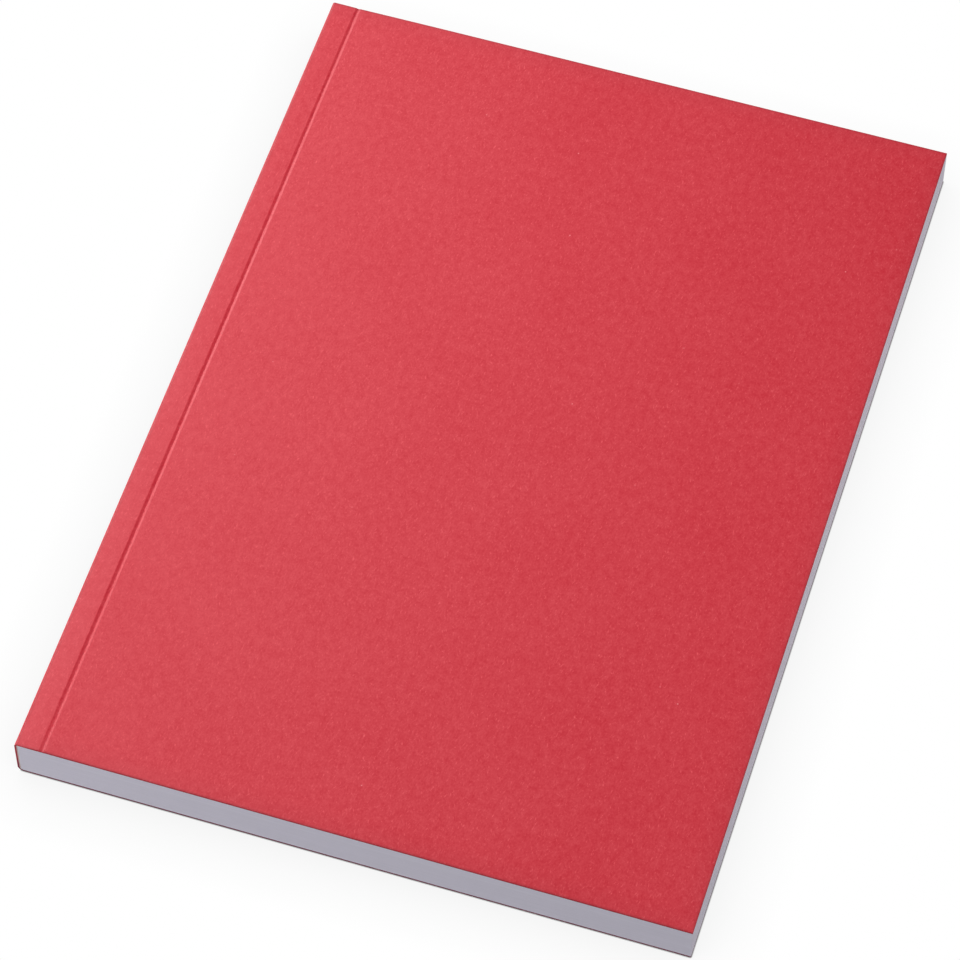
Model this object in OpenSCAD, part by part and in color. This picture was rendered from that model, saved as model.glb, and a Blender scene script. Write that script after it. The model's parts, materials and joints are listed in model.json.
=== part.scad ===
// Perfect-bound softcover notebook, lying closed on its back cover.
// X runs from the spine to the fore-edge, Y from tail to head, and Z up through the front cover.

/* [Trim size] */
// Width of the closed book, from the outside of the spine to the fore-edge
book_w = 148; // [90:1:220]
// Height of the book, from tail to head
book_h = 210; // [120:1:300]

/* [Leaves] */
// Number of leaves in the block
leaf_count = 96; // [24:4:160]
// Thickness of one leaf, with the air that stays under it
leaf_t = 0.1025; // [0.08:0.0025:0.13]
// Width of the line between two leaves at the trimmed edges
leaf_line_w = 0.03; // [0.01:0.005:0.05]
// Depth of the line between two leaves
leaf_line_depth = 0.04; // [0.01:0.005:0.1]

/* [Cover card] */
// Thickness of the card
card_t = 0.4; // [0.25:0.05:0.6]
// Inside radius of the fold from the spine to the front cover
front_fold_r = 0.15; // [0.1:0.05:0.5]
// Inside radius of the fold from the spine to the back cover
back_fold_r = 0.9; // [0.1:0.05:1.2]

/* [Scores] */
// Distance from the outside of the spine to the middle of each score
score_from_spine = 6.2; // [5:0.1:12]
// Width of the groove that is pressed into the card
score_w = 1.1; // [0.6:0.1:1.6]
// Depth of the groove
score_depth = 0.15; // [0.05:0.01:0.2]
// Gap across the bottom of the groove, where a cover panel turns
hinge_gap = 0.04; // [0.02:0.01:0.1]

/* [Binding] */
// Thickness of the glue between the spine of the leaves and the card
spine_glue_t = 0.35; // [0.2:0.05:0.6]
// Thickness of the glue strips up both sides of the leaves
side_glue_t = 0.06; // [0.03:0.01:0.08]
// Distance that the glue strips stay back from the score groove
glue_setback = 0.4; // [0.2:0.1:1.5]
// Width of one notch sawn across the spine of the leaves
notch_w = 0.8; // [0.4:0.1:1.5]
// Depth of one notch
notch_depth = 0.6; // [0.3:0.1:1]
// Distance from one notch to the next
notch_pitch = 6; // [4:0.5:15]
// Least distance from the head or the tail to the nearest notch
notch_margin = 6; // [4:1:15]

/* [Hidden] */
$fn = 96;

// Overlap that a cutting shape has past the face it cuts
over = 1;
// Places along X
spine_x = -book_w / 2;
fore_x = book_w / 2;
score_x = spine_x + score_from_spine;
leaves_x = spine_x + card_t + spine_glue_t;
glue_end_x = score_x - score_w / 2 - glue_setback;
// Places along Z
leaves_z = card_t;
leaves_top = leaves_z + leaf_count * leaf_t;
book_t = leaves_top + card_t;
// Radius of the round-bottomed score groove
groove_r = (score_w * score_w / 4 + score_depth * score_depth) / (2 * score_depth);
// Notches, spread evenly about the middle of the height
notch_count = floor((book_h - 2 * notch_margin - notch_w) / notch_pitch) + 1;
notch_first_y = -(notch_count - 1) * notch_pitch / 2;

// Extrudes a section drawn in X and Z along the whole height of the book
module along_height() {
    rotate([90, 0, 0])
        linear_extrude(height = book_h, center = true)
            children();
}

// What a square corner loses when it is rounded to radius r
module corner_waste(r) {
    difference() {
        translate([-over, -over])
            square([r + over, r + over]);
        translate([r, r])
            circle(r);
    }
}

// Section of the closed book, inset all round, with its two spine corners rounded
module rounded_at_spine(inset, front_r, back_r) {
    difference() {
        translate([spine_x + inset, inset])
            square([book_w - inset, book_t - 2 * inset]);
        translate([spine_x + inset, inset])
            corner_waste(back_r);
        translate([spine_x + inset, book_t - inset])
            mirror([0, 1])
                corner_waste(front_r);
    }
}

// Part of a section that lies between two places along X
module between_x(from, to) {
    intersection() {
        translate([from, -over])
            square([to - from, book_t + 2 * over]);
        children();
    }
}

// Space inside the folded card
module inside_cover() {
    rounded_at_spine(card_t, front_fold_r, back_fold_r);
}

// Leaves at the spine, which the clamp nips so that the side glue finds room
module nipped_leaves() {
    between_x(leaves_x, glue_end_x)
        rounded_at_spine(card_t + side_glue_t, front_fold_r - side_glue_t, back_fold_r - side_glue_t);
}

// Edge of the stacked leaves at a distance from the middle, with a line between neighbours
function leaf_edge(reach) = [
    for (i = [0 : leaf_count - 1])
        let (z = leaves_z + i * leaf_t)
            each [
                [reach - leaf_line_depth, z],
                [reach, z + leaf_line_w / 2],
                [reach, z + leaf_t - leaf_line_w / 2]
            ],
    [reach - leaf_line_depth, leaves_top]
];

// Section of the leaves across the book, trimmed at the fore-edge
module leaves_across() {
    difference() {
        polygon(concat([[leaves_x, leaves_z]], leaf_edge(fore_x), [[leaves_x, leaves_top]]));
        difference() {
            between_x(leaves_x - over, glue_end_x)
                square([3 * book_w, 3 * book_t], center = true);
            nipped_leaves();
        }
    }
}

// Section of the leaves along the book, trimmed at tail and head
module leaves_along() {
    head = leaf_edge(book_h / 2);
    tail = [for (i = [len(head) - 1 : -1 : 0]) [-head[i][0], head[i][1]]];
    polygon(concat(head, tail));
}

// Row of bars that fills the notches across the spine of the leaves
module notch_bars() {
    for (i = [0 : notch_count - 1])
        translate([leaves_x, notch_first_y + i * notch_pitch - notch_w / 2, leaves_z + side_glue_t])
            cube([notch_depth, notch_w, leaves_top - leaves_z - 2 * side_glue_t]);
}

// Round-bottomed groove of the front score, as a section
module front_groove() {
    translate([score_x, book_t + groove_r - score_depth])
        circle(groove_r);
}

// Round-bottomed groove of the back score, as a section
module back_groove() {
    translate([score_x, score_depth - groove_r])
        circle(groove_r);
}

// Block of white leaves, trimmed on three sides and notched along the spine
module page_block() {
    color([0.94, 0.94, 0.95])
        difference() {
            intersection() {
                along_height()
                    leaves_across();
                rotate([90, 0, 90])
                    linear_extrude(height = book_w, center = true)
                        leaves_along();
            }
            notch_bars();
        }
}

// Hot-melt glue between the leaves and the card, with its teeth in the notches
module binding_glue() {
    color([0.88, 0.84, 0.70])
        union() {
            along_height()
                difference() {
                    between_x(spine_x, glue_end_x)
                        inside_cover();
                    nipped_leaves();
                }
            intersection() {
                notch_bars();
                along_height()
                    inside_cover();
            }
        }
}

// Card round the spine, glued up both sides as far as the scores
module spine_cover() {
    color([0.84, 0.31, 0.34])
        along_height()
            difference() {
                between_x(spine_x, score_x - hinge_gap / 2)
                    rounded_at_spine(0, front_fold_r + card_t, back_fold_r + card_t);
                inside_cover();
                front_groove();
                back_groove();
            }
}

// Front panel of the card, which turns at the front score
module front_cover() {
    color([0.82, 0.29, 0.32])
        along_height()
            difference() {
                translate([score_x + hinge_gap / 2, leaves_top])
                    square([fore_x - score_x - hinge_gap / 2, card_t]);
                front_groove();
            }
}

// Back panel of the card, which turns at the back score and rests on the table
module back_cover() {
    color([0.72, 0.24, 0.29])
        along_height()
            difference() {
                translate([score_x + hinge_gap / 2, 0])
                    square([fore_x - score_x - hinge_gap / 2, card_t]);
                back_groove();
            }
}

page_block();
binding_glue();
spine_cover();
front_cover();
back_cover();
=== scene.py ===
"""Softcover notebook: a glued block of trimmed leaves in one sheet of red card, lying closed on its back.

X runs from the spine to the fore-edge, Y from tail to head and Z up through the front cover. All sizes are metres.
"""

import json
import logging
import math
from dataclasses import dataclass, field, replace
from enum import Enum

import bmesh
import bpy
from mathutils import Matrix, Vector


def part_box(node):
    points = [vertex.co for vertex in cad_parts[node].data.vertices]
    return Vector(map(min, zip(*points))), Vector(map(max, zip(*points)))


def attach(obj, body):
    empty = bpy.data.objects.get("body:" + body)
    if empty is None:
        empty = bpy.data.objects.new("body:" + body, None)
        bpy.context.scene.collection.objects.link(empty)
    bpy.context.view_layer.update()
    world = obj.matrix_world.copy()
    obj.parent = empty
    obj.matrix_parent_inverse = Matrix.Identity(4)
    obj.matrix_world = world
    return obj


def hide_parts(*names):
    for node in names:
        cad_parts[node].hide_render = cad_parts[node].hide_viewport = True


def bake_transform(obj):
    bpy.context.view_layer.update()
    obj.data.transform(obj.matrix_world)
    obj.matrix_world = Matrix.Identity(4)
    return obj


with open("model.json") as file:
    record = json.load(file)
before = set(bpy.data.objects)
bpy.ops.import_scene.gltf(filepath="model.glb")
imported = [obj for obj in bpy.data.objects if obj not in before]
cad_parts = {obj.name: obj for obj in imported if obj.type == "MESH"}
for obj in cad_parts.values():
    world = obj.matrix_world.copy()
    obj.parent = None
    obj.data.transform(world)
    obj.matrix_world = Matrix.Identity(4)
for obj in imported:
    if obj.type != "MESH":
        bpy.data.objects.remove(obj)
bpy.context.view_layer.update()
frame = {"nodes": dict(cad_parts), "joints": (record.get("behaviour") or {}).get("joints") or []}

MM = 0.001
SHEET_UV = "sheet"
CUT_UV = "cut"

log = logging.getLogger("notebook")

Point2 = tuple[float, float]
Colour = tuple[float, float, float]


class Body(Enum):
    """The three rigid bodies of the frame."""

    BLOCK = "book_block"
    FRONT = "front_panel"
    BACK = "back_panel"


class Slot(Enum):
    """The record's material slots."""

    CARD = "cover_card"
    LEAVES = "leaves"
    GLUE = "hot_melt"


class Side(Enum):
    """Which side of the book a cover panel lies on: the sign of its outward direction along Z."""

    FRONT = 1
    BACK = -1


# ---------------------------------------------------------------- shader wiring


class Wiring:
    """A material's node tree, with short calls for the nodes that the finishes use."""

    def __init__(self, name: str) -> None:
        """Makes an empty material.

        Args:
            name: the material's name.
        """
        self.material = bpy.data.materials.new(name)
        self.material.use_nodes = True
        self.tree = self.material.node_tree
        self.surface = self.tree.nodes["Principled BSDF"]

    def feed(self, socket: bpy.types.NodeSocket, value: object) -> None:
        """Links an output to a socket, or sets the socket to a plain value.

        Args:
            socket: the input to fill.
            value: a node output, a number or a tuple.
        """
        if isinstance(value, bpy.types.NodeSocket):
            self.tree.links.new(value, socket)
        else:
            socket.default_value = value

    def sheet_place(self) -> bpy.types.NodeSocket:
        """Returns the place on the flat sheet, in metres."""
        node = self.tree.nodes.new("ShaderNodeUVMap")
        node.uv_map = SHEET_UV
        return node.outputs["UV"]

    def inside_cut(self) -> bpy.types.NodeSocket:
        """Returns the distance to the nearest cut edge of the sheet, in metres."""
        node = self.tree.nodes.new("ShaderNodeUVMap")
        node.uv_map = CUT_UV
        parts = self.tree.nodes.new("ShaderNodeSeparateXYZ")
        self.tree.links.new(node.outputs["UV"], parts.inputs["Vector"])
        return self.maths("MINIMUM", parts.outputs["X"], parts.outputs["Y"])

    def object_place(self) -> bpy.types.NodeSocket:
        """Returns the place in the row frame, in metres."""
        return self.tree.nodes.new("ShaderNodeTexCoord").outputs["Object"]

    def turned(self, place: object, angle: float, stretch: tuple[float, float, float]) -> bpy.types.NodeSocket:
        """Turns a place about Z and then stretches it.

        Args:
            place: the vector to change.
            angle: the turn in radians.
            stretch: the factor along each axis.

        Returns:
            The changed vector.
        """
        turn = self.tree.nodes.new("ShaderNodeMapping")
        self.feed(turn.inputs["Vector"], place)
        turn.inputs["Rotation"].default_value = (0, 0, angle)
        grow = self.tree.nodes.new("ShaderNodeVectorMath")
        grow.operation = "MULTIPLY"
        self.feed(grow.inputs[0], turn.outputs["Vector"])
        grow.inputs[1].default_value = stretch
        return grow.outputs["Vector"]

    def noise(self, place: object, scale: float, detail: float = 2.0, roughness: float = 0.5) -> bpy.types.NodeSocket:
        """Returns fractal noise about 0.5.

        Args:
            place: where the noise is read.
            scale: cells for each metre.
            detail: octaves.
            roughness: how much each octave keeps.
        """
        node = self.tree.nodes.new("ShaderNodeTexNoise")
        self.feed(node.inputs["Vector"], place)
        node.inputs["Scale"].default_value = scale
        node.inputs["Detail"].default_value = detail
        node.inputs["Roughness"].default_value = roughness
        return node.outputs["Fac"]

    def cells(self, place: object, scale: float) -> tuple[bpy.types.NodeSocket, bpy.types.NodeSocket]:
        """Returns the distance to the nearest scattered point, in cells, and that point's random colour.

        Args:
            place: where the pattern is read.
            scale: points for each metre along a line.
        """
        node = self.tree.nodes.new("ShaderNodeTexVoronoi")
        self.feed(node.inputs["Vector"], place)
        node.inputs["Scale"].default_value = scale
        return node.outputs["Distance"], node.outputs["Color"]

    def maths(self, operation: str, *values: object, clamp: bool = False) -> bpy.types.NodeSocket:
        """Returns a sum, product or other simple function of some values.

        Args:
            operation: one of Blender's math operations.
            values: numbers or outputs.
            clamp: whether the result stays within 0 and 1.
        """
        node = self.tree.nodes.new("ShaderNodeMath")
        node.operation = operation
        node.use_clamp = clamp
        for socket, value in zip(node.inputs, values):
            self.feed(socket, value)
        return node.outputs[0]

    def span(
        self, value: object, low: float, high: float, to_low: float = 0.0, to_high: float = 1.0
    ) -> bpy.types.NodeSocket:
        """Maps a range of a value to another range, and holds it there.

        Args:
            value: the value to map.
            low: where the first range starts.
            high: where it ends.
            to_low: what low becomes.
            to_high: what high becomes.

        Returns:
            The mapped value.
        """
        node = self.tree.nodes.new("ShaderNodeMapRange")
        self.feed(node.inputs["Value"], value)
        node.inputs["From Min"].default_value = low
        node.inputs["From Max"].default_value = high
        node.inputs["To Min"].default_value = to_low
        node.inputs["To Max"].default_value = to_high
        return node.outputs["Result"]

    def tinted(self, colour: object, tone: object) -> bpy.types.NodeSocket:
        """Returns a colour times a tone.

        Args:
            colour: a colour or an output.
            tone: the factor at each point.
        """
        node = self.tree.nodes.new("ShaderNodeVectorMath")
        node.operation = "SCALE"
        self.feed(node.inputs[0], colour)
        self.feed(node.inputs["Scale"], tone)
        return node.outputs["Vector"]

    def shifted(self, colour: Colour, swing: Colour, amount: object) -> bpy.types.NodeSocket:
        """Returns a colour plus some amount of another.

        Args:
            colour: the plain colour.
            swing: what an amount of 1 adds.
            amount: how much of it there is at each point.
        """
        node = self.tree.nodes.new("ShaderNodeVectorMath")
        node.operation = "MULTIPLY_ADD"
        self.feed(node.inputs[0], amount)
        node.inputs[1].default_value = swing
        node.inputs[2].default_value = colour
        return node.outputs["Vector"]

    def mixed(self, share: object, first: object, second: object) -> bpy.types.NodeSocket:
        """Returns a mix of two colours.

        Args:
            share: how much of the second.
            first: a colour or an output.
            second: a colour or an output.
        """
        node = self.tree.nodes.new("ShaderNodeMix")
        node.data_type = "RGBA"
        self.feed(node.inputs["Factor"], share)
        for socket, value in ((node.inputs["A"], first), (node.inputs["B"], second)):
            self.feed(socket, (*value, 1.0) if isinstance(value, tuple) else value)
        return node.outputs["Result"]

    def relief(self, height: object, distance: float, strength: float) -> None:
        """Raises the surface by a height pattern.

        Args:
            height: the pattern, 0 to 1.
            distance: what 1 stands for, in metres.
            strength: the share that shows.
        """
        node = self.tree.nodes.new("ShaderNodeBump")
        node.inputs["Distance"].default_value = distance
        node.inputs["Strength"].default_value = strength
        self.feed(node.inputs["Height"], height)
        self.tree.links.new(node.outputs["Normal"], self.surface.inputs["Normal"])


# ---------------------------------------------------------------- finishes


@dataclass(frozen=True)
class CardFinish:
    """Uncoated card, coloured through the sheet: a felted face with cloudy tone, fine grain, stray fibres and a few
    pale specks; the paleness of fibres and specks is partly painted highlight, and the front fold carries painted
    shade.
    """

    colour: Colour = (0.56, 0.0155, 0.032)
    swing: Colour = (0.57, 0.22, 0.23)
    fleck_and_glint: Colour = (0.80, 0.36, 0.38)
    cloud_per_m: float = 40.0
    mottle_per_m: float = 620.0
    grain_per_m: float = 2400.0
    grain_stretch: float = 0.68
    cloud_amount: float = 0.03
    mottle_amount: float = 0.11
    grain_amount: float = 0.125
    fibre_and_highlight_amount: float = 0.17
    fibre_lay: tuple[tuple[float, float], ...] = ((1.35, 1.0), (1.85, 1.0), (0.3, 0.6))
    fibre_stretch: tuple[float, float, float] = (800.0, 2700.0, 1.0)
    fibre_from: float = 0.62
    fibre_full: float = 0.73
    speck_per_m: float = 210.0
    speck_core: float = 0.018
    speck_rim: float = 0.046
    speck_rarity: float = 0.86
    speck_strength: float = 0.8
    roughness: float = 0.52
    roughness_swing: float = 0.06
    specular: float = 0.36
    relief_depth: float = 0.022 * MM
    relief_share: float = 0.8
    mottle_height: float = 0.6
    grain_height: float = 0.4
    fibre_height: float = 0.25
    # Painted shade in the front fold.
    fold_shade_amount: float = 0.17
    fold_shade_reach: float = 0.5 * MM
    fold_shade_core: float = 0.5
    cut_amount: float = 0.2
    cut_reach: float = 0.55 * MM
    cut_core: float = 0.3
    margin_amount: float = 0.06
    margin_reach: float = 5.0 * MM

    def material(self, fold_shade_at: float) -> bpy.types.Material:
        """Returns the finish of the card's two faces and of the spine.

        Args:
            fold_shade_at: the place along the sheet, in the front fold, where the painted shade lies.

        Returns:
            The material.
        """
        wiring = Wiring("card_face")
        place = wiring.sheet_place()
        cloud = wiring.noise(place, self.cloud_per_m, detail=1.0)
        drawn = wiring.turned(place, 0.0, (1.0, self.grain_stretch, 1.0))
        mottle = wiring.noise(drawn, self.mottle_per_m, detail=3.0, roughness=0.6)
        grain = wiring.noise(drawn, self.grain_per_m, detail=2.0, roughness=0.6)
        fibres = self.fibres(wiring, place)
        tone = self.tone(wiring, (cloud, self.cloud_amount), (mottle, self.mottle_amount), (grain, self.grain_amount))
        # Pale fibres lighten the tone: partly real fibre, partly painted highlight.
        tone = wiring.maths("MULTIPLY_ADD", fibres, self.fibre_and_highlight_amount, tone)
        # The dyed colour is darkened by painted shade in the front fold and by the darker tone along and near the
        # cuts.
        dyed_and_shaded = wiring.tinted(wiring.shifted(self.colour, self.swing, tone), self.pressed(wiring, place, fold_shade_at))
        # Pale specks: partly undyed fibre, partly painted glints.
        wiring.feed(wiring.surface.inputs["Base Color"], wiring.mixed(self.specks(wiring, place), dyed_and_shaded, self.fleck_and_glint))
        smooth, rough = self.roughness - self.roughness_swing, self.roughness + self.roughness_swing
        wiring.feed(wiring.surface.inputs["Roughness"], wiring.span(grain, 0.2, 0.8, smooth, rough))
        wiring.surface.inputs["Specular IOR Level"].default_value = self.specular
        mottled = wiring.maths("MULTIPLY", mottle, self.mottle_height)
        height = wiring.maths("ADD", mottled, wiring.maths("MULTIPLY", grain, self.grain_height))
        height = wiring.maths("ADD", height, wiring.maths("MULTIPLY", fibres, self.fibre_height))
        wiring.relief(height, self.relief_depth, self.relief_share)
        return wiring.material

    def tone(self, wiring: Wiring, *layers: tuple[object, float]) -> bpy.types.NodeSocket:
        """Returns the sum of each layer's swing about its middle.

        Args:
            wiring: the material that is being made.
            layers: noise outputs, each with its amount.
        """
        total: object = 0.0
        for value, amount in layers:
            swing = wiring.maths("MULTIPLY_ADD", value, 2.0 * amount, -amount)
            total = wiring.maths("ADD", total, swing)
        return total

    def pressed(self, wiring: Wiring, place: object, fold_shade_at: float) -> bpy.types.NodeSocket:
        """Returns the tone where the card is darker: painted shade in the front fold, a thin line along the cuts from
        the knife, and a faint darkening within a few millimetres of the cuts.

        Args:
            wiring: the material that is being made.
            place: the place on the sheet.
            fold_shade_at: the place along the sheet of the painted fold shade.

        Returns:
            The factor at each point.
        """
        parts = wiring.tree.nodes.new("ShaderNodeSeparateXYZ")
        wiring.feed(parts.inputs["Vector"], place)
        away = wiring.maths("ABSOLUTE", wiring.maths("SUBTRACT", parts.outputs["X"], fold_shade_at))
        # Painted shade in the front fold.
        painted_fold_shade = wiring.span(away, self.fold_shade_core * self.fold_shade_reach, self.fold_shade_reach, 1.0 - self.fold_shade_amount, 1.0)
        inside = wiring.inside_cut()
        at_cut = wiring.span(inside, self.cut_core * self.cut_reach, self.cut_reach, 1.0 - self.cut_amount, 1.0)
        at_margin = wiring.span(inside, 0.0, self.margin_reach, 1.0 - self.margin_amount, 1.0)
        return wiring.maths("MULTIPLY", painted_fold_shade, wiring.maths("MULTIPLY", at_cut, at_margin))

    def fibres(self, wiring: Wiring, place: object) -> bpy.types.NodeSocket:
        """Returns thin pale fibres, 0 to 1, of which most lie along the height of the book; their paleness is partly
        real fibre and partly painted highlight.

        Args:
            wiring: the material that is being made.
            place: the place on the sheet.
        """
        total: object = 0.0
        for angle, share in self.fibre_lay:
            bent = wiring.turned(place, angle, self.fibre_stretch)
            strand = wiring.span(wiring.noise(bent, 1.0, roughness=0.55), self.fibre_from, self.fibre_full)
            total = wiring.maths("MULTIPLY_ADD", strand, share, total)
        return total

    def specks(self, wiring: Wiring, place: object) -> bpy.types.NodeSocket:
        """Returns where pale specks sit, 0 to 1: partly undyed fibre, partly painted glints.

        Args:
            wiring: the material that is being made.
            place: the place on the sheet.
        """
        distance, colour = wiring.cells(place, self.speck_per_m)
        parts = wiring.tree.nodes.new("ShaderNodeSeparateColor")
        wiring.feed(parts.inputs["Color"], colour)
        spot = wiring.span(distance, self.speck_core, self.speck_rim, 1.0, 0.0)
        chosen = wiring.maths("GREATER_THAN", parts.outputs["Red"], self.speck_rarity)
        strength = wiring.maths("MULTIPLY", parts.outputs["Green"], self.speck_strength)
        return wiring.maths("MULTIPLY", wiring.maths("MULTIPLY", spot, chosen), strength)


@dataclass(frozen=True)
class CutEdgeFinish:
    """The guillotined edge of the card: layers of fibre torn open by the knife, with painted shade where it lies on
    the table.
    """

    colour: Colour = (0.50, 0.034, 0.050)
    # low is painted shade: the edge's darker colour where it lies on the table.
    low: Colour = (0.21, 0.012, 0.055)
    layer_per_m: float = 9000.0
    drag_per_m: float = 500.0
    darkest: float = 0.78
    palest: float = 1.18
    roughness: float = 0.95
    specular: float = 0.2
    relief_depth: float = 0.02 * MM
    relief_share: float = 0.7

    def material(self, table_shade_from: float, table_shade_to: float) -> bpy.types.Material:
        """Returns the finish of the card's cut edges.

        Args:
            table_shade_from: the place along the sheet, down the spine, where the painted shade on the edge starts.
            table_shade_to: the place along the sheet past which the painted shade is full.

        Returns:
            The material.
        """
        wiring = Wiring("card_cut_edge")
        place = wiring.sheet_place()
        parts = wiring.tree.nodes.new("ShaderNodeSeparateXYZ")
        wiring.feed(parts.inputs["Vector"], place)
        # Painted shade of the table: the edge darkens down the spine and stays dark along the back panel.
        table_shade_share = wiring.span(parts.outputs["X"], table_shade_to, table_shade_from, 1.0, 0.0)
        dragged = wiring.turned(place, 0.0, (self.drag_per_m, self.layer_per_m, 1.0))
        layers = wiring.noise(dragged, 1.0, detail=3.0, roughness=0.6)
        tone = wiring.span(layers, 0.25, 0.75, self.darkest, self.palest)
        dyed_and_shaded = wiring.mixed(table_shade_share, self.colour, self.low)
        wiring.feed(wiring.surface.inputs["Base Color"], wiring.tinted(dyed_and_shaded, tone))
        wiring.surface.inputs["Roughness"].default_value = self.roughness
        wiring.surface.inputs["Specular IOR Level"].default_value = self.specular
        wiring.relief(layers, self.relief_depth, self.relief_share)
        return wiring.material


@dataclass(frozen=True)
class LeafFinish:
    """White uncoated paper: flat on the pages, and in fine even streaks where the leaves are trimmed; the trimmed
    edges are bluer from the paper's brightener and redder from painted red bounce light off the cover.
    """

    page: Colour = (0.82, 0.82, 0.85)
    # The trimmed edges' colour holds painted red bounce light from the cover.
    edge: Colour = (0.845, 0.815, 0.93)
    leaf_t: float = 0.1025 * MM
    leaves_z: float = 0.4 * MM
    leaf_amount: float = 0.05
    streak_amount: float = 0.05
    streak_stretch: tuple[float, float, float] = (70.0, 70.0, 3800.0)
    felt_per_m: float = 1500.0
    felt_amount: float = 0.03
    smoothest: float = 0.86
    roughest: float = 0.96
    specular: float = 0.3
    relief_depth: float = 0.008 * MM
    relief_share: float = 0.6
    page_facing: float = 0.98

    def material(self) -> bpy.types.Material:
        """Returns the finish of the leaf block."""
        wiring = Wiring("leaf_paper")
        place = wiring.object_place()
        parts = wiring.tree.nodes.new("ShaderNodeSeparateXYZ")
        wiring.feed(parts.inputs["Vector"], place)
        rise = wiring.maths("MULTIPLY_ADD", parts.outputs["Z"], 1.0 / self.leaf_t, -self.leaves_z / self.leaf_t)
        leaf = wiring.tree.nodes.new("ShaderNodeTexWhiteNoise")
        leaf.noise_dimensions = "1D"
        wiring.feed(leaf.inputs["W"], wiring.maths("FLOOR", rise))
        by_leaf = wiring.maths("MULTIPLY_ADD", leaf.outputs["Value"], self.leaf_amount, -0.5 * self.leaf_amount)
        streaks = wiring.noise(wiring.turned(place, 0.0, self.streak_stretch), 1.0, detail=4.0, roughness=0.6)
        by_streak = wiring.maths("MULTIPLY_ADD", streaks, 2.0 * self.streak_amount, -self.streak_amount)
        felt = wiring.noise(place, self.felt_per_m, detail=3.0, roughness=0.6)
        by_felt = wiring.maths("MULTIPLY_ADD", felt, self.felt_amount, 1.0 - 0.5 * self.felt_amount)
        trimmed = wiring.tinted(self.edge, wiring.maths("ADD", wiring.maths("ADD", by_leaf, by_streak), by_felt))
        flat = wiring.tinted(self.page, by_felt)
        wiring.feed(wiring.surface.inputs["Base Color"], wiring.mixed(self.on_page(wiring), trimmed, flat))
        wiring.feed(wiring.surface.inputs["Roughness"], wiring.span(felt, 0.2, 0.8, self.smoothest, self.roughest))
        wiring.surface.inputs["Specular IOR Level"].default_value = self.specular
        wiring.relief(wiring.maths("ADD", felt, streaks), self.relief_depth, self.relief_share)
        return wiring.material

    def on_page(self, wiring: Wiring) -> bpy.types.NodeSocket:
        """Returns 1 on the flat faces of the first and last page, and 0 on the trimmed edges."""
        parts = wiring.tree.nodes.new("ShaderNodeSeparateXYZ")
        facing = wiring.tree.nodes.new("ShaderNodeTexCoord").outputs["Normal"]
        wiring.feed(parts.inputs["Vector"], facing)
        return wiring.maths("GREATER_THAN", wiring.maths("ABSOLUTE", parts.outputs["Z"]), self.page_facing)


@dataclass(frozen=True)
class GlueFinish:
    """Hot-melt glue: waxy and a little clear, and darker red where it touches the card, which is painted shade and
    painted red bounce light from the card.
    """

    colour: Colour = (0.74, 0.66, 0.62)
    shade_and_red_bounce: Colour = (0.40, 0.07, 0.09)
    card_face_x: float = -73.6 * MM
    shade_and_bounce_reach: float = 0.3 * MM
    ripple_per_m: float = 900.0
    darkest: float = 0.92
    palest: float = 1.06
    roughness: float = 0.45
    clear_share: float = 0.15
    clear_reach: float = 0.4 * MM
    relief_depth: float = 0.02 * MM
    relief_share: float = 0.5

    def material(self) -> bpy.types.Material:
        """Returns the finish of the binding glue."""
        wiring = Wiring("hot_melt")
        place = wiring.object_place()
        ripple = wiring.noise(place, self.ripple_per_m, detail=3.0)
        parts = wiring.tree.nodes.new("ShaderNodeSeparateXYZ")
        wiring.feed(parts.inputs["Vector"], place)
        # Beside the card's face the glue is painted dark red: painted shade and painted red bounce light.
        clear = wiring.span(parts.outputs["X"], self.card_face_x, self.card_face_x + self.shade_and_bounce_reach)
        rippled = wiring.tinted(self.colour, wiring.span(ripple, 0.3, 0.7, self.darkest, self.palest))
        wiring.feed(wiring.surface.inputs["Base Color"], wiring.mixed(clear, self.shade_and_red_bounce, rippled))
        wiring.surface.inputs["Roughness"].default_value = self.roughness
        wiring.surface.inputs["Subsurface Weight"].default_value = self.clear_share
        wiring.surface.inputs["Subsurface Scale"].default_value = self.clear_reach
        wiring.relief(ripple, self.relief_depth, self.relief_share)
        return wiring.material


# ---------------------------------------------------------------- cover card


@dataclass(frozen=True)
class SectionPoint:
    """One place along the card's section.

    outside and inside are the two faces of the card before it is scored, and along is the distance on the flat sheet.
    score is the way that a score groove sinks into the outside: -1 down, 1 up or 0 where none can be. strip is the
    distance from the score towards the spine, and hold is how much of the strip's lean shows there.
    """

    outside: Point2
    inside: Point2
    along: float
    score: int = 0
    strip: float = 0.0
    hold: float = 0.0


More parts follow.
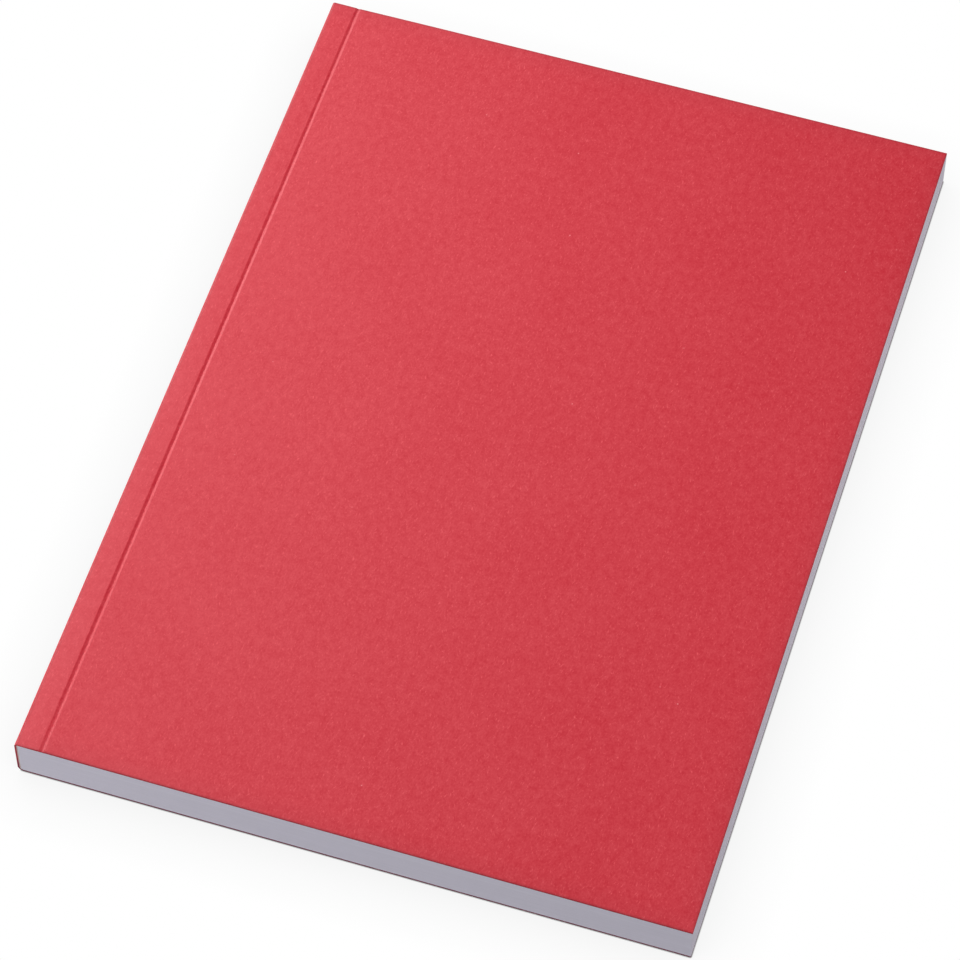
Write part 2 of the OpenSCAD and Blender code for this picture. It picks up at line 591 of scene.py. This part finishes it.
@dataclass
class CoverCard:
    """The one sheet of cover card: scored twice, folded round the spine and trimmed flush with the leaves."""

    score_w: float = 1.4 * MM
    score_depth: float = 0.175 * MM
    score_skew_tail: float = -0.09 * MM
    score_skew_head: float = 0.03 * MM
    score_fade: float = 0.5
    score_fade_reach: float = 12.0 * MM
    front_fold_r: float = 0.15 * MM
    back_fold_r: float = 0.9 * MM
    fold_shade_turn: float = math.pi / 9
    strip_lean_tail: float = 0.045
    strip_lean_head: float = -0.022
    strip_roll: float = 0.03
    strip_start_share: float = 0.6
    strip_lean_power: float = 1.5
    ledge_head: float = 0.11 * MM
    ledge_reach: float = 25.0 * MM
    arris_r: float = 0.05 * MM
    arris_guard: float = 0.2 * MM
    bend_lead: float = 0.05 * MM
    inner_face_shift: float = 0.5
    groove_steps: int = 12
    panel_steps: int = 30
    strip_steps: int = 12
    fold_steps: int = 10
    wall_steps: int = 10
    back_strip_steps: int = 8
    arris_steps: int = 3
    stations: int = 40
    face: CardFinish = field(default_factory=CardFinish)
    cut: CutEdgeFinish = field(default_factory=CutEdgeFinish)

    def __post_init__(self) -> None:
        """Reads the card's places from the frame."""
        low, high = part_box("front_cover")
        spine_low, spine_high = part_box("spine_cover")
        self.spine_x, self.fore_x = spine_low[0], high[0]
        self.tail_y, self.head_y = low[1], high[1]
        self.card_t = high[2] - low[2]
        self.book_t = spine_high[2]
        hinge = next(joint for joint in frame["joints"] if joint["name"] == "front_hinge")
        self.score_x = hinge["pos_m"][0]
        fold_r = self.front_fold_r + self.card_t
        # The painted fold shade sits a little way round the front fold.
        fold_shade_at = self.spine_x - self.score_x + fold_r - self.fold_shade_turn * fold_r
        wall_at = self.spine_x - self.score_x + fold_r - math.pi / 2 * fold_r
        wall_end = wall_at - self.book_t + fold_r + self.back_fold_r + self.card_t
        # The cut edge's painted table shade starts halfway down the spine wall and is full at the back fold.
        cut_edge = self.cut.material((wall_at + wall_end) / 2, wall_end - self.card_t)
        self.materials = [self.face.material(fold_shade_at), cut_edge]

    def groove(self, x: float, y: float) -> float:
        """Returns how deep the score groove is, with soft shoulders; it runs slightly askew and is faint at the tail.

        Args:
            x: the place across the book.
            y: the place along the height.

        Returns:
            The depth.
        """
        share = (y - self.tail_y) / (self.head_y - self.tail_y)
        middle = self.score_x + self.score_skew_tail + (self.score_skew_head - self.score_skew_tail) * share
        across = abs(x - middle) / (self.score_w / 2)
        depth = self.score_depth * (1 - self.score_fade * math.exp(-(y - self.tail_y) / self.score_fade_reach))
        return depth * math.cos(math.pi / 2 * across) ** 2 if across < 1 else 0.0

    def arris(self, inset: float) -> float:
        """Returns how far the knife has pressed the card's arris down, at a distance inside the cut."""
        if inset >= self.arris_r:
            return 0.0
        return self.arris_r - math.sqrt(self.arris_r**2 - (self.arris_r - inset) ** 2)

    def strip_drop(self, strip: float, y: float) -> float:
        """Returns how far the glued strip lies below the front panel, since the spine was nipped hardest at the tail.

        Args:
            strip: the distance from the score towards the spine.
            y: the place along the height.

        Returns:
            The distance below the panel.
        """
        share = (y - self.tail_y) / (self.head_y - self.tail_y)
        swing = self.strip_lean_tail - self.strip_lean_head
        lean = self.strip_lean_head + swing * max(0.0, 1 - share) ** self.strip_lean_power
        width = self.score_x - self.score_w / 2 + self.score_skew_tail - self.spine_x - self.front_fold_r - self.card_t
        start = self.strip_start_share * width * max(0.0, -lean)
        return start + lean * strip + self.strip_roll * strip**3 / (3 * width**2)

    def ledge(self, x: float, y: float) -> float:
        """Returns how far the front panel lies below the strip beside the score, which is most at the head.

        Args:
            x: the place across the book.
            y: the place along the height.

        Returns:
            The distance below the strip, which fades out across the panel.
        """
        share = (y - self.tail_y) / (self.head_y - self.tail_y)
        half = self.score_w / 2
        rise = min(1.0, max(0.0, (x - self.score_x + half) / self.score_w))
        fade = min(1.0, max(0.0, 1 - (x - self.score_x - half) / self.ledge_reach))
        return self.ledge_head * share**2 * math.sin(math.pi / 2 * rise) ** 2 * fade**2

    def panel_section(self, side: Side) -> list[SectionPoint]:
        """Returns the section of a cover panel from the middle of its score to the fore-edge.

        Args:
            side: front or back.

        Returns:
            The places along the section.
        """
        half = self.score_w / 2 + abs(self.score_skew_tail)
        xs = [self.score_x + half * k / self.groove_steps for k in range(self.groove_steps)]
        first = self.score_x + half
        last = self.fore_x - self.arris_guard
        xs += [first + (last - first) * k / self.panel_steps for k in range(self.panel_steps + 1)]
        quarter = [math.pi / 2 * k / self.arris_steps for k in range(self.arris_steps + 1)]
        xs += [self.fore_x - self.arris_r * (1 - math.sin(turn)) for turn in quarter]
        top, bottom = (self.book_t, self.book_t - self.card_t) if side is Side.FRONT else (0.0, self.card_t)
        points = []
        for x in xs:
            sunk = self.arris(self.fore_x - x)
            points.append(SectionPoint((x, top - side.value * sunk), (x, bottom), x - self.score_x, -side.value))
        return points

    def spine_section(self) -> list[SectionPoint]:
        """Returns the section of the card round the spine, from the front score to the back score."""
        half = self.score_w / 2 + abs(self.score_skew_tail)
        outline: list[tuple[Point2, Point2, int, float, float]] = []
        left, t, top = self.spine_x, self.card_t, self.book_t
        front_r, back_r = self.front_fold_r + t, self.back_fold_r + t

        def spread(start: float, stop: float, steps: int, last: bool) -> list[float]:
            """Returns evenly spread places from start to stop."""
            return [start + (stop - start) * k / steps for k in range(steps + (1 if last else 0))]

        shoulder = self.score_x - half
        fold = shoulder - (left + front_r)
        for x in spread(self.score_x, shoulder, self.groove_steps, False):
            share = (self.score_x - x) / half
            outline.append(((x, top), (x, top - t), -1, 0.0, math.sin(math.pi / 2 * share) ** 2))
        for x in spread(shoulder, left + front_r, self.strip_steps, False):
            outline.append(((x, top), (x, top - t), 0, shoulder - x, 1.0))
        self.add_fold(outline, (left + front_r, top - front_r), front_r, self.front_fold_r, 90.0, fold)
        walls = spread(top - front_r, back_r, self.wall_steps, False)[1:]
        for k, z in enumerate(walls, 1):
            outline.append(((left, z), (left + t, z), 0, fold, 1 - k / (len(walls) + 1)))
        self.add_fold(outline, (left + back_r, back_r), back_r, self.back_fold_r, 180.0, 0.0)
        for x in spread(left + back_r, shoulder, self.back_strip_steps, False)[1:]:
            outline.append(((x, 0.0), (x, t), 0, 0.0, 0.0))
        for x in spread(shoulder, self.score_x, self.groove_steps, True):
            outline.append(((x, 0.0), (x, t), 1, 0.0, 0.0))
        points, along = [], 0.0
        for k, (outside, inside, score, place, hold) in enumerate(outline):
            along += math.dist(outside, outline[k - 1][0]) if k else 0.0
            points.append(SectionPoint(outside, inside, -along, score, place, hold))
        self.spine_length = along
        return points

    def add_fold(
        self,
        outline: list[tuple[Point2, Point2, int, float, float]],
        centre: Point2,
        outer_r: float,
        inner_r: float,
        start: float,
        place: float,
    ) -> None:
        """Adds a quarter turn of the card to an outline.

        Args:
            outline: the outline so far.
            centre: the middle of the fold.
            outer_r: the radius outside.
            inner_r: the radius inside.
            start: the angle that the turn starts at, in degrees.
            place: how far along the leaning strip the turn starts, or 0 where the card doesn't lean.
        """
        for k in range(self.fold_steps + 1):
            share = k / self.fold_steps
            angle = math.radians(start + 90.0 * share)
            c, s = math.cos(angle), math.sin(angle)
            outside = (centre[0] + outer_r * c, centre[1] + outer_r * s)
            inside = (centre[0] + inner_r * c, centre[1] + inner_r * s)
            outline.append((outside, inside, 0, place, 1.0 if place else 0.0))

    def station_places(self) -> list[float]:
        """Returns the places along Y at which the section is drawn, close together at the two cuts."""
        quarter = [math.pi / 2 * k / self.arris_steps for k in range(self.arris_steps + 1)]
        cut = [self.arris_r * (1 - math.cos(turn)) for turn in quarter]
        low, high = self.tail_y + self.arris_guard, self.head_y - self.arris_guard
        middle = [low + (high - low) * k / self.stations for k in range(self.stations + 1)]
        return [self.tail_y + c for c in cut] + middle + [self.head_y - c for c in reversed(cut)]

    def sweep(self, name: str, section: list[SectionPoint]) -> bpy.types.Object:
        """Draws a section along the height of the book as one closed piece of card.

        Args:
            name: the piece's name.
            section: the places along the section.

        Returns:
            The new object.
        """
        ys = self.station_places()
        count = len(section)
        verts: list[tuple[float, float, float]] = []
        places: list[Point2] = []
        cuts: list[Point2] = []
        for y in ys:
            pressed = self.arris(min(y - self.tail_y, self.head_y - y))
            for layer in (0, 1):
                for k, point in enumerate(section):
                    x, z = self.towards(point, pressed) if layer == 0 else point.inside
                    if layer == 0:
                        z += point.score * self.groove(x, y) - point.hold * self.strip_drop(point.strip, y)
                        z -= self.ledge(x, y) if point.score < 0 else 0.0
                    verts.append((x, y, z))
                    places.append((point.along, y + self.inner_face_shift * layer))
                    cuts.append((self.fore_x - point.inside[0], min(y - self.tail_y, self.head_y - y)))
        faces: list[tuple[int, ...]] = []
        finish: list[int] = []

        def at(station: int, layer: int, k: int) -> int:
            """Returns the number of a vertex."""
            return (station * 2 + layer) * count + k

        for j in range(len(ys) - 1):
            for k in range(count - 1):
                faces.append((at(j, 0, k), at(j, 0, k + 1), at(j + 1, 0, k + 1), at(j + 1, 0, k)))
                faces.append((at(j, 1, k), at(j + 1, 1, k), at(j + 1, 1, k + 1), at(j, 1, k + 1)))
                finish += [0, 0]
            for k in (0, count - 1):
                faces.append((at(j, 0, k), at(j + 1, 0, k), at(j + 1, 1, k), at(j, 1, k)))
                finish.append(1)
        for j in (0, len(ys) - 1):
            for k in range(count - 1):
                faces.append((at(j, 0, k), at(j, 1, k), at(j, 1, k + 1), at(j, 0, k + 1)))
                finish.append(1)
        mesh = bpy.data.meshes.new(name)
        mesh.from_pydata(verts, [], faces)
        for material in self.materials:
            mesh.materials.append(material)
        self.finish_mesh(mesh, finish, {SHEET_UV: places, CUT_UV: cuts})
        piece = bpy.data.objects.new(name, mesh)
        bpy.context.scene.collection.objects.link(piece)
        return piece

    def towards(self, point: SectionPoint, distance: float) -> Point2:
        """Returns the outside point moved towards the inside point by a distance."""
        dx, dz = point.inside[0] - point.outside[0], point.inside[1] - point.outside[1]
        length = math.hypot(dx, dz)
        return point.outside[0] + dx / length * distance, point.outside[1] + dz / length * distance

    def finish_mesh(self, mesh: bpy.types.Mesh, finish: list[int], maps: dict[str, list[Point2]]) -> None:
        """Sets a mesh's normals, smoothing, finishes and maps.

        Args:
            mesh: the mesh to finish.
            finish: for each face, 0 for the card's face or 1 for a cut edge.
            maps: for each map's name, a pair of distances for each vertex.
        """
        mesh.polygons.foreach_set("material_index", finish)
        mesh.polygons.foreach_set("use_smooth", [kind == 0 for kind in finish])
        for name, places in maps.items():
            layer = mesh.uv_layers.new(name=name)
            for loop in mesh.loops:
                layer.uv[loop.index].vector = places[loop.vertex_index]
        mesh.validate()
        turn_outward(mesh)

    def build(self) -> list[bpy.types.Object]:
        """Builds the three parts of the sheet, sets the spine on the book block's body, and returns them."""
        spine = self.sweep("card_spine", self.spine_section())
        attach(spine, Body.BLOCK.value)
        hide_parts("spine_cover")
        pieces = [spine]
        for side, body in ((Side.FRONT, Body.FRONT), (Side.BACK, Body.BACK)):
            section = self.panel_section(side)
            if side is Side.BACK:
                section = [replace(point, along=-self.spine_length - point.along) for point in section]
            node = f"{side.name.lower()}_cover"
            panel = self.sweep(f"card_{side.name.lower()}", section)
            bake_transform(panel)
            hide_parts(node)
            pieces.append(panel)
        return pieces


def turn_outward(mesh: bpy.types.Mesh) -> None:
    """Turns every face of a closed mesh to look outward.

    Args:
        mesh: the mesh to turn.
    """
    work = bmesh.new()
    work.from_mesh(mesh)
    bmesh.ops.recalc_face_normals(work, faces=work.faces[:])
    work.to_mesh(mesh)
    work.free()


# ---------------------------------------------------------------- leaves and glue


@dataclass
class LeafBlock:
    """The trimmed leaves and the glue that binds them, as the frame holds them."""

    leaves: LeafFinish = field(default_factory=LeafFinish)
    glue: GlueFinish = field(default_factory=GlueFinish)

    def build(self) -> list[bpy.types.Object]:
        """Dresses the two frame nodes and returns them."""
        dressed = []
        for node, finish, slot in (
            ("page_block", self.leaves, Slot.LEAVES),
            ("binding_glue", self.glue, Slot.GLUE),
        ):
            piece = frame["nodes"][node]
            material = finish.material()
            for place in piece.material_slots:
                place.material = material
            dressed.append(piece)
        return dressed


# ---------------------------------------------------------------- studio


@dataclass(frozen=True)
class PhotoCamera:
    """The camera at the photograph's place: azimuth 0 looks along +Y, and the lens is in pixels of a 960 frame."""

    azimuth: float = 17.602
    elevation: float = 56.581
    roll: float = 0.0705
    distance: float = 0.986204
    aim: tuple[float, float, float] = (-0.001882, -0.009073, 0.00532)
    focal_px: float = 4503.2
    frame_px: float = 960.0

    def build(self) -> bpy.types.Object:
        """Makes the camera, sets it as the scene's and returns it."""
        data = bpy.data.cameras.new("photo_camera")
        data.sensor_width = 36.0
        data.lens = data.sensor_width * self.focal_px / self.frame_px
        data.clip_start, data.clip_end = 0.01, 20.0
        camera = bpy.data.objects.new("photo_camera", data)
        azimuth, elevation = math.radians(self.azimuth), math.radians(self.elevation)
        back = Vector(
            (
                math.sin(azimuth) * math.cos(elevation),
                -math.cos(azimuth) * math.cos(elevation),
                math.sin(elevation),
            )
        )
        turn = Matrix.Rotation(math.radians(self.roll), 4, -back)
        camera.matrix_world = (
            Matrix.Translation(Vector(self.aim) + back * self.distance)
            @ turn
            @ (-back).to_track_quat("-Z", "Y").to_matrix().to_4x4()
        )
        bpy.context.scene.collection.objects.link(camera)
        bpy.context.scene.camera = camera
        return camera


@dataclass(frozen=True)
class Softbox:
    """One square studio lamp, with a grid that keeps its light within a cone."""

    name: str
    place: tuple[float, float, float]
    aim: tuple[float, float, float]
    side: float
    watts: float
    spread: float = 180.0
    colour: Colour = (1.0, 1.0, 1.0)

    def build(self) -> bpy.types.Object:
        """Makes the lamp and returns it."""
        data = bpy.data.lights.new(self.name, "AREA")
        data.size = self.side
        data.energy = self.watts
        data.spread = math.radians(self.spread)
        data.color = self.colour
        lamp = bpy.data.objects.new(self.name, data)
        lamp.location = self.place
        lamp.rotation_euler = (Vector(self.aim) - Vector(self.place)).to_track_quat("-Z", "Y").to_euler()
        bpy.context.scene.collection.objects.link(lamp)
        return lamp


@dataclass
class Studio:
    """A white table and room: soft even light, four softboxes, and a faint shadow round the book."""

    room_light: float = 0.45
    table_share: float = 0.6
    shade_reach: float = 16.0 * MM
    shade_depth: float = 0.09
    contact_reach: float = 0.35 * MM
    contact_depth: float = 0.9
    shade_samples: int = 16
    open_sky: float = 0.5
    horizon: float = 0.15
    table_side: float = 6.0
    table_drop: float = 0.05 * MM
    lamps: tuple[Softbox, ...] = (
        Softbox("softbox_spine_side", (-0.5, 0.4, 0.5), (0.0, -0.06, 0.01), 0.35, 1.03, 70.0),
        Softbox("softbox_tail_side", (-0.5, -0.25, 0.1), (0.0, -0.1, 0.01), 0.2, 1.0),
        Softbox("softbox_fore_side", (0.4, 0.2, 0.04), (0.074, 0.0, 0.005), 0.12, 0.03, 60.0, (1.0, 0.84, 0.78)),
        Softbox("softbox_under_table", (0.0, 0.0, -0.6), (0.0, 0.0, 0.0), 0.2, 1.3),
    )

    def build(self) -> None:
        """Makes the table, the room and the lamps."""
        bpy.context.scene.view_settings.view_transform = "Standard"
        self.build_room()
        self.build_table()
        for lamp in self.lamps:
            lamp.build()

    def build_room(self) -> None:
        """Lights the scene evenly, a little less from the table, and shows plain white behind it."""
        world = bpy.data.worlds.new("white_room")
        world.use_nodes = True
        bpy.context.scene.world = world
        tree = world.node_tree
        background = tree.nodes["Background"]
        background.inputs["Color"].default_value = (1.0, 1.0, 1.0, 1.0)
        rays = tree.nodes.new("ShaderNodeLightPath")
        seen = tree.nodes.new("ShaderNodeMath")
        seen.operation = "MAXIMUM"
        tree.links.new(rays.outputs["Is Camera Ray"], seen.inputs[0])
        tree.links.new(rays.outputs["Is Transmission Ray"], seen.inputs[1])
        seen_or_glossy = tree.nodes.new("ShaderNodeMath")
        seen_or_glossy.operation = "MAXIMUM"
        tree.links.new(seen.outputs[0], seen_or_glossy.inputs[0])
        tree.links.new(rays.outputs["Is Glossy Ray"], seen_or_glossy.inputs[1])
        way = tree.nodes.new("ShaderNodeTexCoord")
        parts = tree.nodes.new("ShaderNodeSeparateXYZ")
        tree.links.new(way.outputs["Generated"], parts.inputs["Vector"])
        light = tree.nodes.new("ShaderNodeMapRange")
        light.inputs["From Min"].default_value = -self.horizon
        light.inputs["From Max"].default_value = self.horizon
        light.inputs["To Min"].default_value = self.room_light * self.table_share
        light.inputs["To Max"].default_value = self.room_light
        tree.links.new(parts.outputs["Z"], light.inputs["Value"])
        strength = tree.nodes.new("ShaderNodeMapRange")
        strength.inputs["To Max"].default_value = 1.0
        tree.links.new(light.outputs["Result"], strength.inputs["To Min"])
        tree.links.new(seen_or_glossy.outputs[0], strength.inputs["Value"])
        tree.links.new(strength.outputs["Result"], background.inputs["Strength"])

    def build_table(self) -> None:
        """Lays a white table under the book, which shows only where the book shades it."""
        mesh = bpy.data.meshes.new("table")
        half = self.table_side / 2
        corners = [(-half, -half), (half, -half), (half, half), (-half, half)]
        mesh.from_pydata([(x, y, -self.table_drop) for x, y in corners], [], [(0, 1, 2, 3)])
        material = bpy.data.materials.new("white_table")
        material.use_nodes = True
        tree = material.node_tree
        tree.nodes.clear()
        both = tree.nodes.new("ShaderNodeMath")
        both.operation = "MULTIPLY"
        for socket, reach, depth in (
            (both.inputs[0], self.shade_reach, self.shade_depth),
            (both.inputs[1], self.contact_reach, self.contact_depth),
        ):
            shade = tree.nodes.new("ShaderNodeAmbientOcclusion")
            shade.samples = self.shade_samples
            shade.inputs["Distance"].default_value = reach
            soft = tree.nodes.new("ShaderNodeMapRange")
            soft.inputs["From Min"].default_value = self.open_sky
            soft.inputs["To Min"].default_value = 1.0 - depth
            soft.inputs["To Max"].default_value = 1.0
            tree.links.new(shade.outputs["AO"], soft.inputs["Value"])
            tree.links.new(soft.outputs["Result"], socket)
        clear = tree.nodes.new("ShaderNodeBsdfTransparent")
        out = tree.nodes.new("ShaderNodeOutputMaterial")
        tree.links.new(both.outputs[0], clear.inputs["Color"])
        tree.links.new(clear.outputs["BSDF"], out.inputs["Surface"])
        mesh.materials.append(material)
        table = bpy.data.objects.new("table", mesh)
        bpy.context.scene.collection.objects.link(table)
        table.visible_diffuse = table.visible_glossy = table.visible_shadow = False
        table.visible_transmission = False


def main() -> None:
    """Builds the notebook and its studio, and reports each piece."""
    logging.basicConfig(level=logging.INFO, format="%(name)s: %(message)s")
    PhotoCamera().build()
    Studio().build()
    for assembly in (CoverCard(), LeafBlock()):
        for piece in assembly.build():
            log.info("%s: %d faces", piece.name, len(piece.data.polygons))


if __name__ == "__main__":
    main()
